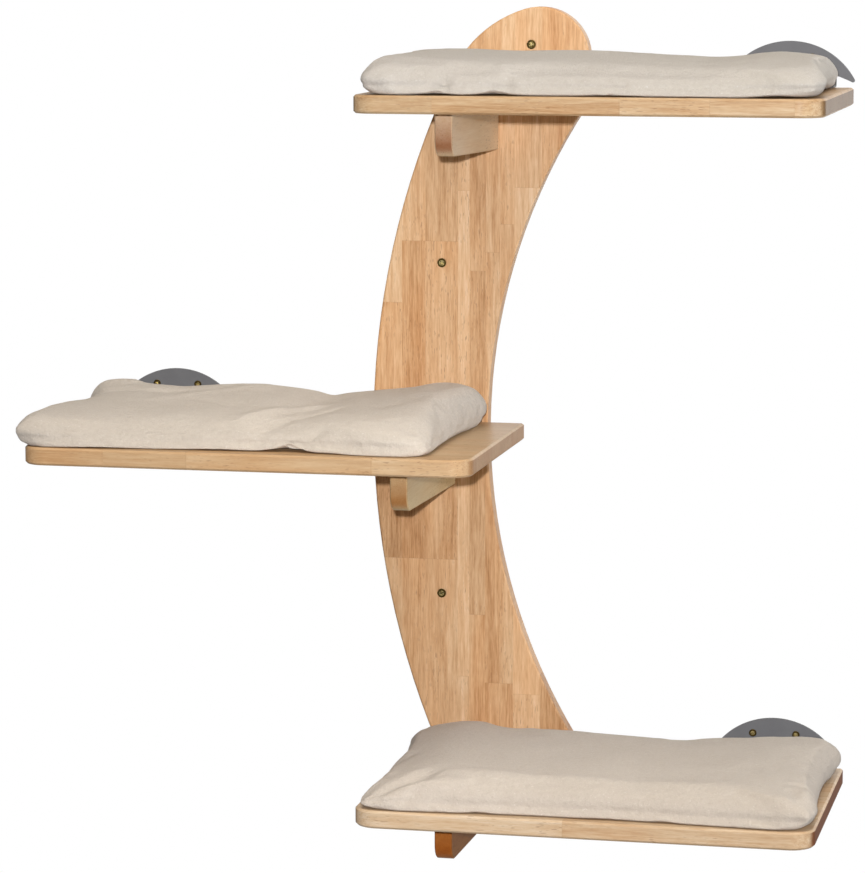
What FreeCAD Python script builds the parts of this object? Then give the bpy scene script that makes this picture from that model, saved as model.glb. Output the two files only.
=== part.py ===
import FreeCAD, Part
import math
import os

# Cat climbing wall: a crescent board on the wall carries three shelves with loose cushions.
# Sizes are in millimetres. X runs along the wall, Y into the wall and Z up.
# The origin is on the wall face, at the middle of the crescent's waist.

Vector = FreeCAD.Vector

# Crescent board
board_thickness = 18.0
waist_width = 125.0
outer_arc_radius = 880.0
inner_arc_radius = 628.0
tip_radius = 53.4
shoulder_radius = 126.0
heel_radius = 30.0
top_tip_rise = 37.0
bottom_tip_drop = 25.0
board_edge_bevel = 1.5

# Shelves
shelf_pitch = 358.0
shelf_width = 465.0
shelf_depth = 290.0
shelf_thickness = 18.0
shelf_corner_radius = 25.0
shelf_edge_bevel = 2.0
end_shelf_overrun = 32.6
middle_shelf_overrun = 39.5

# Support cleats under the shelves
cleat_thickness = 18.0
cleat_depth = 235.0
cleat_front_height = 44.5
cleat_back_height = 50.0
cleat_nose_radius = 18.0
cleat_edge_bevel = 1.0
cleat_inset = 83.5

# Crescent wall plates that hold the free ends of the shelves
plate_thickness = 2.0
plate_bend_radius = 2.0
plate_half_width = 70.0
plate_rise = 47.0
plate_horn_height = 2.0
plate_hollow_height = 19.5
plate_horn_round = 2.0
plate_foot_width = 97.0
plate_foot_grip = 20.0
plate_foot_corner = 8.0
top_plate_inset = 68.0
middle_plate_inset = 78.0
bottom_plate_inset = 75.0

# Cushions
cushion_width = 448.0
cushion_thickness = 42.0
cushion_roll = 26.0
cushion_corner_radius = 34.0
cushion_draw_in = 6.0
cushion_front_gap = 4.0
cushion_back_gap = 14.0
cushion_seat_gap = 0.4
top_cushion_gap = 8.0
middle_cushion_gap = 28.0
bottom_cushion_gap = 12.0
# Each section of a cushion: its inset as a share of the roll, its height as a share of the thickness
cushion_section_shares = (
    (0.45, 0.0),
    (0.04, 0.2),
    (0.04, 0.5),
    (0.4, 0.8),
    (1.9, 1.0),
)

# Screws: countersunk ones for the board, the shelves and the wall, pan heads on the plate feet
screw_gap = 0.1
countersink_gap = 0.2
screw_head_edge = 0.3
screw_tip_share = 2.2
# The screws that nothing shows have this many flats, which keeps the mesh small
hidden_screw_flats = 12

board_screw_head_radius = 4.8
board_screw_neck_radius = 2.2
board_screw_shank_radius = 2.5
board_screw_length = 60.0
board_screw_height = 178.0
board_screw_edge_inset = 56.8
tip_screw_shift = 8.4
tip_screw_rise = 14.0

frame_screw_head_radius = 4.2
frame_screw_shank_radius = 2.25
frame_screw_length = 58.0
frame_screw_pitch = 80.0
cleat_rear_screw_top = 13.0
cleat_rear_screw_pitch = 24.0

cleat_screw_head_radius = 4.0
cleat_screw_shank_radius = 2.0
cleat_screw_length = 45.0
cleat_screw_first = 60.0
cleat_screw_pitch = 115.0

plate_screw_head_radius = 4.0
plate_screw_shank_radius = 2.0
plate_screw_length = 40.0
plate_screw_pitch = 46.0
plate_screw_height = 30.0

foot_screw_head_radius = 3.5
foot_screw_head_height = 2.2
foot_screw_shank_radius = 1.75
foot_screw_length = 15.0
foot_screw_end_inset = 6.5
foot_screw_edge_inset = 10.0

# One overrun for every cut
cut_overrun = 1.0
position_tolerance = 0.01


def outer_edge(height):
    """X of the board's convex edge at a height."""
    return outer_arc_radius - waist_width / 2 - math.sqrt(outer_arc_radius ** 2 - height ** 2)


def inner_edge(height):
    """X of the board's concave edge at a height."""
    return inner_arc_radius + waist_width / 2 - math.sqrt(inner_arc_radius ** 2 - height ** 2)


def crescent_middle(height):
    return (outer_edge(height) + inner_edge(height)) / 2


# Derived places
board_front = -board_thickness
shelf_front = board_front - shelf_depth
cushion_depth = shelf_depth - cushion_front_gap - cushion_back_gap
top_tip_height = shelf_pitch + top_tip_rise
bottom_tip_height = shelf_pitch + bottom_tip_drop
outer_centre = Vector(outer_arc_radius - waist_width / 2, 0, 0)
inner_centre = Vector(inner_arc_radius + waist_width / 2, 0, 0)


class Level:
    """One shelf level: where the shelf lies and which way it reaches from the board."""

    def __init__(self, name, height, side, overrun, plate_inset, cushion_gap):
        self.name = name
        self.height = height
        self.side = side
        if side > 0:
            self.inner_end = outer_edge(height) - overrun
        else:
            self.inner_end = inner_edge(height) + overrun
        self.top = height + shelf_thickness / 2
        self.underside = height - shelf_thickness / 2
        self.shelf_x = self.inner_end + side * shelf_width / 2
        self.cleat_x = self.inner_end + side * cleat_inset
        self.plate_x = self.inner_end + side * (shelf_width - plate_inset)
        self.cushion_x = self.inner_end + side * (cushion_gap + cushion_width / 2)


levels = (
    Level("top", shelf_pitch, 1, end_shelf_overrun, top_plate_inset, top_cushion_gap),
    Level("middle", 0.0, -1, middle_shelf_overrun, middle_plate_inset, middle_cushion_gap),
    Level("bottom", -shelf_pitch, 1, end_shelf_overrun, bottom_plate_inset, bottom_cushion_gap),
)


def arc(start, end, centre, radius):
    """The shorter arc from start to end about centre."""
    chord_middle = (start + end) * 0.5 - centre
    middle = centre + chord_middle.normalize() * radius
    return Part.Arc(start, middle, end).toShape()


def line(start, end):
    return Part.LineSegment(start, end).toShape()


def edges_where(shape, test):
    return [edge for edge in shape.Edges if test(edge.BoundBox)]


def flat_at(value, low, high):
    return abs(low - value) < position_tolerance and abs(high - value) < position_tolerance


def screw_end_points(shank_radius, length):
    """The shank's end and its point."""
    tip = shank_radius * screw_tip_share
    return [Vector(shank_radius, 0, tip - length), Vector(0, 0, -length)]


def countersunk_points(head_radius, head_edge, neck_radius, shank_radius, length, grip):
    """Half section of a countersunk screw along -Z, with its head's top at Z = 0."""
    cone_end = -head_edge - head_radius + neck_radius
    points = [Vector(0, 0, 0), Vector(head_radius, 0, 0)]
    if head_edge > 0:
        points.append(Vector(head_radius, 0, -head_edge))
    points.append(Vector(neck_radius, 0, cone_end))
    if neck_radius < shank_radius:
        points += [Vector(neck_radius, 0, -grip), Vector(shank_radius, 0, -grip)]
    return points + screw_end_points(shank_radius, length)


def countersunk_hole_points(head_radius, head_edge, shank_radius, length):
    """Half section of the countersunk hole that the screw sits in."""
    mouth = head_radius + head_edge + countersink_gap
    bore = shank_radius + screw_gap
    return [
        Vector(0, 0, cut_overrun),
        Vector(mouth, 0, cut_overrun),
        Vector(mouth, 0, 0),
        Vector(bore, 0, bore - mouth),
        Vector(bore, 0, -length - screw_gap),
        Vector(0, 0, -length - screw_gap),
    ]


def pan_head_points(head_radius, head_height, shank_radius, length):
    """Half section of a pan head screw along -Z, with the seat of its head at Z = 0."""
    return [
        Vector(0, 0, head_height),
        Vector((head_radius + shank_radius) / 2, 0, head_height),
        Vector(head_radius, 0, 0),
        Vector(shank_radius, 0, 0),
    ] + screw_end_points(shank_radius, length)


def pan_hole_points(shank_radius, length):
    """Half section of the hole that a pan head screw sits in."""
    bore = shank_radius + screw_gap
    return [
        Vector(0, 0, cut_overrun),
        Vector(bore, 0, cut_overrun),
        Vector(bore, 0, -length - screw_gap),
        Vector(0, 0, -length - screw_gap),
    ]


def polygon_face(points):
    return Part.Face(Part.makePolygon(points + [points[0]]))


def revolved(points):
    return polygon_face(points).revolve(Vector(0, 0, 0), Vector(0, 0, 1), 360)


def turned_in_steps(points):
    """The half section turned about Z in steps, which leaves flats where a revolve is round."""
    sections = []
    for number in range(hidden_screw_flats):
        turn = FreeCAD.Rotation(Vector(0, 0, 1), 360 / hidden_screw_flats * number)
        sections.append([turn.multVec(point) for point in points])
    faces = []
    for near, far in zip(sections, sections[1:] + sections[:1]):
        for upper in range(len(points) - 1):
            lower = upper + 1
            off_axis = [index for index in (lower, upper) if points[index].x > 0]
            faces.append(polygon_face([near[upper], near[lower]] + [far[index] for index in off_axis]))
    return Part.Solid(Part.Shell(faces)).removeSplitter()


def aimed(shape, position, direction):
    """Moves a shape modelled along -Z to a position and direction."""
    turned = shape.copy()
    turned.Placement = FreeCAD.Placement(position, FreeCAD.Rotation(Vector(0, 0, -1), direction))
    return turned


class Screw:
    """A kind of screw, and the hole that it sits in."""

    def __init__(self, body_points, hole_points, hidden):
        turned = turned_in_steps if hidden else revolved
        self.body = turned(body_points)
        self.hole = turned(hole_points)

    def bodies(self, places, direction):
        return Part.makeCompound([aimed(self.body, place, direction) for place in places])

    def holes(self, places, direction):
        return [aimed(self.hole, place, direction) for place in places]


def countersunk_screw(head_radius, head_edge, neck_radius, shank_radius, length, grip, hidden):
    """A screw whose smooth neck, if it is thinner than the shank, is as long as the grip."""
    body = countersunk_points(head_radius, head_edge, neck_radius, shank_radius, length, grip)
    hole = countersunk_hole_points(head_radius, head_edge, shank_radius, length)
    return Screw(body, hole, hidden)


board_screw = countersunk_screw(
    board_screw_head_radius, screw_head_edge, board_screw_neck_radius, board_screw_shank_radius,
    board_screw_length, board_thickness, hidden=False)
frame_screw = countersunk_screw(
    frame_screw_head_radius, 0, frame_screw_shank_radius, frame_screw_shank_radius,
    frame_screw_length, board_thickness, hidden=True)
cleat_screw = countersunk_screw(
    cleat_screw_head_radius, 0, cleat_screw_shank_radius, cleat_screw_shank_radius,
    cleat_screw_length, shelf_thickness, hidden=True)
plate_screw = countersunk_screw(
    plate_screw_head_radius, screw_head_edge, plate_screw_shank_radius, plate_screw_shank_radius,
    plate_screw_length, plate_thickness, hidden=False)
foot_screw = Screw(
    pan_head_points(foot_screw_head_radius, foot_screw_head_height, foot_screw_shank_radius,
                    foot_screw_length),
    pan_hole_points(foot_screw_shank_radius, foot_screw_length), hidden=True)

into_wall = Vector(0, 1, 0)
out_of_wall = Vector(0, -1, 0)
down = Vector(0, 0, -1)


def board_screw_places():
    """The wall screws of the board: one in each tip, two between the shelves."""
    tips = (top_tip_height, -bottom_tip_height)
    places = []
    for height in tips:
        rise = math.copysign(tip_screw_rise, height)
        x = crescent_middle(height) - tip_screw_shift
        places.append(Vector(x, board_front, height + rise))
    for height in (board_screw_height, -board_screw_height):
        places.append(Vector(outer_edge(height) + board_screw_edge_inset, board_front, height))
    return places


def shelf_rear_places(level):
    """From the board's back into the shelf's back edge."""
    middle = crescent_middle(level.height)
    return [Vector(middle + side * frame_screw_pitch / 2, 0, level.height) for side in (-1, 1)]


def cleat_rear_places(level):
    """From the board's back into the end of the cleat."""
    first = level.underside - cleat_rear_screw_top
    return [Vector(level.cleat_x, 0, first - step * cleat_rear_screw_pitch) for step in (0, 1)]


def cleat_top_places(level):
    """From the shelf's top into the cleat."""
    first = board_front - cleat_screw_first
    return [Vector(level.cleat_x, first - step * cleat_screw_pitch, level.top) for step in (0, 1)]


def plate_wall_places(level):
    """Through the plate into the wall. The edge of the head stands proud of the plate."""
    y = -plate_thickness - screw_head_edge
    z = level.top + plate_screw_height
    return [Vector(level.plate_x + side * plate_screw_pitch / 2, y, z) for side in (-1, 1)]


def plate_foot_places(level):
    """Through the plate's foot into the top of the shelf."""
    reach = plate_foot_width / 2 - foot_screw_end_inset
    y = board_front - foot_screw_edge_inset
    z = level.top + plate_thickness
    return [Vector(level.plate_x + side * reach, y, z) for side in (-1, 1)]


def circle_meeting(first, first_radius, second, second_radius):
    """The point at the two radii from two centres, on the side of the line nearer Z = 0."""
    span = second - first
    distance = span.Length
    along = (first_radius ** 2 - second_radius ** 2 + distance ** 2) / (2 * distance)
    aside = math.sqrt(first_radius ** 2 - along ** 2)
    unit = span * (1 / distance)
    normal = Vector(-unit.z, 0, unit.x)
    base = first + unit * along
    return min((base + normal * aside, base - normal * aside), key=lambda point: abs(point.z))


def crescent_end(tip_height):
    """Edges from the convex arc round a tip to the concave arc, and the points that they join."""
    tip = Vector(crescent_middle(tip_height), 0, tip_height)
    shoulder = circle_meeting(
        outer_centre, outer_arc_radius - shoulder_radius, tip, shoulder_radius - tip_radius)
    outer_point = outer_centre + (shoulder - outer_centre).normalize() * outer_arc_radius
    tip_start = shoulder + (tip - shoulder).normalize() * shoulder_radius
    tip_end = tip + Vector(tip_radius, 0, 0)
    heel_x = tip_end.x - heel_radius
    heel_drop = math.sqrt((inner_arc_radius + heel_radius) ** 2 - (inner_centre.x - heel_x) ** 2)
    heel = Vector(heel_x, 0, math.copysign(heel_drop, tip_height))
    heel_start = heel + Vector(heel_radius, 0, 0)
    inner_point = inner_centre + (heel - inner_centre).normalize() * inner_arc_radius
    edges = [
        arc(outer_point, tip_start, shoulder, shoulder_radius),
        arc(tip_start, tip_end, tip, tip_radius),
        line(tip_end, heel_start),
        arc(heel_start, inner_point, heel, heel_radius),
    ]
    return edges, outer_point, inner_point


def backboard():
    """The crescent, drawn as tangent arcs, with countersunk holes from both sides."""
    top_edges, top_outer, top_inner = crescent_end(top_tip_height)
    bottom_edges, bottom_outer, bottom_inner = crescent_end(-bottom_tip_height)
    waist_outer = Vector(-waist_width / 2, 0, 0)
    waist_inner = Vector(waist_width / 2, 0, 0)
    edges = [Part.Arc(bottom_outer, waist_outer, top_outer).toShape()]
    edges += top_edges
    edges.append(Part.Arc(top_inner, waist_inner, bottom_inner).toShape())
    edges += bottom_edges
    outline = Part.Wire(Part.__sortEdges__(edges))
    board = Part.Face(outline).extrude(out_of_wall * board_thickness)
    front_rim = edges_where(board, lambda b: flat_at(board_front, b.YMin, b.YMax))
    board = board.makeChamfer(board_edge_bevel, front_rim)
    cuts = board_screw.holes(board_screw_places(), into_wall)
    for level in levels:
        cuts += frame_screw.holes(shelf_rear_places(level) + cleat_rear_places(level), out_of_wall)
    return board.cut(cuts)


def shelf(level):
    """A slab with its back edge on the board, rounded front corners and bevelled edges."""
    corner = Vector(-shelf_width / 2, -shelf_depth, -shelf_thickness / 2)
    slab = Part.makeBox(shelf_width, shelf_depth, shelf_thickness, corner)
    corners = edges_where(slab, lambda b: b.ZLength > position_tolerance
                          and flat_at(-shelf_depth, b.YMin, b.YMax))
    slab = slab.makeFillet(shelf_corner_radius, corners)
    rims = edges_where(slab, lambda b: b.ZLength < position_tolerance)
    slab = slab.makeChamfer(shelf_edge_bevel, rims)
    slab.translate(Vector(level.shelf_x, board_front, level.height))
    cuts = frame_screw.holes(shelf_rear_places(level), out_of_wall)
    cuts += cleat_screw.holes(cleat_top_places(level), down)
    cuts += foot_screw.holes(plate_foot_places(level), down)
    return slab.cut(cuts)


def cleat(level):
    """A rib under the shelf, deeper at the board and rounded at its nose."""
    front = board_front - cleat_depth
    corner = Vector(0, front, -cleat_front_height)
    heel = Vector(0, board_front, -cleat_back_height)
    points = [Vector(0, board_front, 0), Vector(0, front, 0), corner, heel]
    rib = Part.Face(Part.makePolygon(points + [points[0]])).extrude(Vector(cleat_thickness, 0, 0))
    nose = edges_where(rib, lambda b: flat_at(front, b.YMin, b.YMax)
                       and flat_at(-cleat_front_height, b.ZMin, b.ZMax))
    rib = rib.makeFillet(cleat_nose_radius, nose)
    sides = edges_where(rib, lambda b: b.XLength < position_tolerance and b.ZMax < -position_tolerance
                        and b.YLength > cleat_edge_bevel)
    rib = rib.makeChamfer(cleat_edge_bevel, sides)
    rib.translate(Vector(level.cleat_x - cleat_thickness / 2, 0, level.underside))
    cuts = frame_screw.holes(cleat_rear_places(level), out_of_wall)
    cuts += cleat_screw.holes(cleat_top_places(level), down)
    return rib.cut(cuts)


def plate_crescent():
    """The part of the plate that lies on the wall: two arcs that meet in rounded horns."""
    horn_rise = plate_rise - plate_horn_height
    hollow_rise = plate_hollow_height - plate_horn_height
    outer_radius = (plate_half_width ** 2 + horn_rise ** 2) / (2 * horn_rise)
    hollow_radius = (plate_half_width ** 2 + hollow_rise ** 2) / (2 * hollow_rise)
    left = Vector(-plate_half_width, 0, plate_horn_height)
    right = Vector(plate_half_width, 0, plate_horn_height)
    peak = arc(left, right, Vector(0, 0, plate_rise - outer_radius), outer_radius)
    hollow = arc(right, left, Vector(0, 0, plate_hollow_height - hollow_radius), hollow_radius)
    sheet = Part.Face(Part.Wire([peak, hollow])).extrude(out_of_wall * plate_thickness)
    horns = edges_where(sheet, lambda b: b.YLength > plate_thickness / 2 and b.XLength < position_tolerance)
    return sheet.makeFillet(plate_horn_round, horns)


def plate_foot():
    """The apron and the foot, bent from the same sheet over the gap behind the shelf."""
    outside = plate_bend_radius + plate_thickness
    foot_end = board_front - plate_foot_grip
    apron_top = plate_hollow_height
    centre = Vector(0, -outside, outside)
    profile = [
        line(Vector(0, 0, apron_top), Vector(0, 0, outside)),
        arc(Vector(0, 0, outside), Vector(0, -outside, 0), centre, outside),
        line(Vector(0, -outside, 0), Vector(0, foot_end, 0)),
        line(Vector(0, foot_end, 0), Vector(0, foot_end, plate_thickness)),
        line(Vector(0, foot_end, plate_thickness), Vector(0, -outside, plate_thickness)),
        arc(Vector(0, -outside, plate_thickness), Vector(0, -plate_thickness, outside), centre,
            plate_bend_radius),
        line(Vector(0, -plate_thickness, outside), Vector(0, -plate_thickness, apron_top)),
        line(Vector(0, -plate_thickness, apron_top), Vector(0, 0, apron_top)),
    ]
    sheet = Part.Face(Part.Wire(profile)).extrude(Vector(plate_foot_width, 0, 0))
    sheet.translate(Vector(-plate_foot_width / 2, 0, 0))
    corners = edges_where(sheet, lambda b: flat_at(foot_end, b.YMin, b.YMax)
                          and b.ZLength > plate_thickness / 2 and b.XLength < position_tolerance)
    return sheet.makeFillet(plate_foot_corner, corners)


def wall_plate(level):
    plate = plate_crescent().fuse(plate_foot()).removeSplitter()
    plate.translate(Vector(level.plate_x, 0, level.top))
    cuts = plate_screw.holes(plate_wall_places(level), into_wall)
    cuts += foot_screw.holes(plate_foot_places(level), down)
    return plate.cut(cuts)


def cushion_section(inset, height):
    """One level outline of a cushion: rounded corners, and sides that draw in between them."""
    half_width = cushion_width / 2 - inset
    half_depth = cushion_depth / 2 - inset
    radius = cushion_corner_radius
    slant = radius * (1 - math.sqrt(0.5))
    edges = []
    corners = ((1, 1), (-1, 1), (-1, -1), (1, -1))
    for index, (sx, sy) in enumerate(corners):
        beside = Vector(sx * half_width, sy * (half_depth - radius), height)
        across = Vector(sx * (half_width - radius), sy * half_depth, height)
        bend = Vector(sx * (half_width - slant), sy * (half_depth - slant), height)
        start, end = (beside, across) if sx * sy > 0 else (across, beside)
        edges.append(Part.Arc(start, bend, end).toShape())
        nx, ny = corners[(index + 1) % len(corners)]
        if sx * sy > 0:
            far = Vector(nx * (half_width - radius), ny * half_depth, height)
            middle = Vector(0, sy * (half_depth - cushion_draw_in), height)
        else:
            far = Vector(nx * half_width, ny * (half_depth - radius), height)
            middle = Vector(sx * (half_width - cushion_draw_in), 0, height)
        edges.append(Part.Arc(end, middle, far).toShape())
    return Part.Wire(edges)


def cushion(level):
    """A loose pad with a flat seat, sides that bulge and draw in, and a crowned top."""
    sections = [
        cushion_section(cushion_roll * inset_share, cushion_thickness * height_share)
        for inset_share, height_share in cushion_section_shares
    ]
    pad = Part.makeLoft(sections, True, True)
    middle_y = shelf_front + cushion_front_gap + cushion_depth / 2
    pad.translate(Vector(level.cushion_x, middle_y, level.top + cushion_seat_gap))
    return pad


def save(shape, name):
    shape.exportStep(os.path.join("parts", name + ".step"))
    print(name, "solids", len(shape.Solids), "volume", round(shape.Volume), "valid", shape.isValid())


def main():
    os.makedirs("parts", exist_ok=True)
    save(backboard(), "backboard")
    save(board_screw.bodies(board_screw_places(), into_wall), "board_wall_screws")
    for level in levels:
        save(shelf(level), level.name + "_shelf")
        save(cleat(level), level.name + "_cleat")
        save(wall_plate(level), level.name + "_wall_plate")
        save(cushion(level), level.name + "_cushion")
        save(frame_screw.bodies(shelf_rear_places(level), out_of_wall), level.name + "_shelf_rear_screws")
        save(frame_screw.bodies(cleat_rear_places(level), out_of_wall), level.name + "_cleat_rear_screws")
        save(cleat_screw.bodies(cleat_top_places(level), down), level.name + "_cleat_top_screws")
        save(plate_screw.bodies(plate_wall_places(level), into_wall), level.name + "_plate_wall_screws")
        save(foot_screw.bodies(plate_foot_places(level), down), level.name + "_plate_foot_screws")


main()
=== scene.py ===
import math

import bmesh
import bpy
from bpy.props import FloatProperty, FloatVectorProperty, IntProperty, PointerProperty
from mathutils import Euler, Matrix, Vector, noise


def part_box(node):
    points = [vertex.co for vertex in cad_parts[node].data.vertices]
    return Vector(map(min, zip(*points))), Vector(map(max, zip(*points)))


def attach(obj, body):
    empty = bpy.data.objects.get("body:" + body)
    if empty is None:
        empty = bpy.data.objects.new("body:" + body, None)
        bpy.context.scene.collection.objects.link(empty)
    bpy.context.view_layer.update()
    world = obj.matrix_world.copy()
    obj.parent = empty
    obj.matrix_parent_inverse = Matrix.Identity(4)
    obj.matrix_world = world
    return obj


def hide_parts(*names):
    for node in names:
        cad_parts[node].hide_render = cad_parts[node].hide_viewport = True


bl_info = {
    "name": "Cat climbing wall",
    "version": (1, 0, 0),
    "blender": (4, 5, 0),
    "location": "View3D > Sidebar > Climbing wall",
    "description": "Dresses the packed climbing wall in lacquered wood, grey steel, screws and fleece",
    "category": "Object",
}

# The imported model, in metres: X along the wall, Y into the wall, Z up
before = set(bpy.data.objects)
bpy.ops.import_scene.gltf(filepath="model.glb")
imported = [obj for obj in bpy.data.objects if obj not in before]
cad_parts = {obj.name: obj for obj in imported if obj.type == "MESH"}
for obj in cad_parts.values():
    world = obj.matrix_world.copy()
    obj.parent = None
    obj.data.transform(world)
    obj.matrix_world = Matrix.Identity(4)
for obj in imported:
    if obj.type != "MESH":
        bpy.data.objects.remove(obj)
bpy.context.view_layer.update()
levels = ("top", "middle", "bottom")
solid_body = "wall_frame"


def srgb(red, green, blue):
    """A colour written as a screen shows it, from 0 to 255, as Blender's linear numbers."""
    return tuple(
        share / 12.92 if share <= 0.04045 else ((share + 0.055) / 1.055) ** 2.4
        for share in (red / 255, green / 255, blue / 255)
    )


def colour_setting(name, description, colour):
    return FloatVectorProperty(
        name=name, description=description, default=srgb(*colour), size=3, min=0, max=1, subtype="COLOR")


def length_setting(name, description, metres):
    return FloatProperty(name=name, description=description, default=metres, subtype="DISTANCE",
                         unit="LENGTH", precision=5)


def angle_setting(name, description, degrees):
    return FloatProperty(
        name=name, description=description, default=math.radians(degrees), subtype="ANGLE", unit="ROTATION")


def share_setting(name, description, share):
    return FloatProperty(name=name, description=description, default=share, min=0, subtype="FACTOR")


class ClimbingWallStage(bpy.types.PropertyGroup):
    """The floor, the lamps and the camera."""

    camera_place: FloatVectorProperty(
        name="Camera place", description="Where the camera stands", default=(0.810, -3.737, 0.517),
        subtype="TRANSLATION", unit="LENGTH")
    camera_heading: angle_setting("Heading", "How far the camera is turned to the left", 12.25)
    camera_tilt: angle_setting("Tilt", "How far the camera looks down", 7.86)
    camera_lens: FloatProperty(
        name="Lens", description="Focal length on a 36 mm sensor", default=148.2, unit="CAMERA")
    lamp_rise: length_setting("Lamp rise", "Height of the main lamp above the camera", 0.11)
    lamp_shift: length_setting("Lamp shift", "How far the main lamp stands to the camera's left", 0.05)
    lamp_size: length_setting("Lamp size", "Width of the main lamp", 0.06)
    lamp_level: share_setting("Main lamp", "Share of the light that comes from the main lamp", 0.8)
    ceiling_level: share_setting("Ceiling", "Share of the light from the large lamp overhead", 0.86)
    side_level: share_setting("Side", "Share of the light from the large lamp at the right", 0.45)
    back_level: share_setting("Back", "Share of the light on the back, which the photo doesn't show", 0.3)
    reflected_level: share_setting("Reflected level", "Brightness of the surroundings in reflections", 0.35)
    sky_level: share_setting("Surroundings", "Share of the light that comes from all around", 0.07)
    floor_height: length_setting("Floor height", "Height of the floor, under the lowest shelf", -0.9)
    floor_colour: colour_setting("Floor colour", "Pale floor near the object", (236, 235, 233))


class ClimbingWallWood(bpy.types.PropertyGroup):
    """The lacquered, edge-glued wood."""

    darkest: colour_setting("Darkest", "Darkest streaks of the wood", (164, 120, 77))
    dark: colour_setting("Dark", "Dark staves", (198, 157, 112))
    middle: colour_setting("Middle", "Most of the wood", (213, 176, 132))
    pale: colour_setting("Pale", "Pale staves", (225, 193, 151))
    palest: colour_setting("Palest", "Palest streaks of the wood", (237, 212, 177))
    pore: colour_setting("Pores", "Short dark pores along the grain", (138, 92, 54))
    stave_width: length_setting("Stave width", "Width of a stave in the shelves", 0.038)
    piece_length: length_setting("Piece length", "Length of the pieces that a stave is jointed from", 0.31)
    roughness: share_setting("Roughness", "Roughness of the lacquered wood", 0.42)
    shine: share_setting("Shine", "Strength of the reflections on the wood under its lacquer", 0.12)
    lacquer: share_setting("Lacquer", "How strongly the clear lacquer shines", 0.03)
    eased_edge: length_setting("Eased edge", "Radius to which the edges look softened", 0.0014)


class ClimbingWallMetal(bpy.types.PropertyGroup):
    """The wall plates and the screws."""

    plate_colour: colour_setting("Plate", "Powder coat of the wall plates", (106, 105, 104))
    # The brass is partly its own dark olive and partly painted dark reflection of the dark room its heads
    # reflect
    brass_with_painted_reflection: colour_setting("Brass", "Yellow passivated wall screws", (92, 76, 38))
    painted_glint_brass: colour_setting("Bright brass", "The wall screws' recesses, rubbed bright", (205, 186, 128))
    zinc_colour: colour_setting("Zinc", "Bright screws that join the wood", (190, 192, 196))
    thread_pitch: length_setting("Thread pitch", "Distance from one turn of the thread to the next", 0.0022)
    thread_depth: length_setting("Thread depth", "How far the thread stands out of the core", 0.0006)
    turn_steps: IntProperty(name="Turn steps", description="Points round a screw", default=24, min=12)


class ClimbingWallFleece(bpy.types.PropertyGroup):
    """The loose cushions."""

    fleece_colour: colour_setting("Fleece", "Cream fleece of the cushions", (223, 214, 199))
    shade_colour: colour_setting("Fleece shade", "Fleece where the pile lies the other way", (204, 193, 177))
    mesh_size: length_setting("Mesh size", "Size of the cloth's mesh before it swells", 0.005)
    pressure: FloatProperty(name="Pressure", description="Pressure of the filling", default=4.0)
    slack: share_setting("Slack", "How much wider the cover is cut than its filling", 0.008)
    most_swell: length_setting("Most swell", "Furthest that the cover may move as it fills", 0.004)
    sim_frames: IntProperty(name="Frames", description="Frames of the cloth simulation", default=20, min=2)


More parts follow.
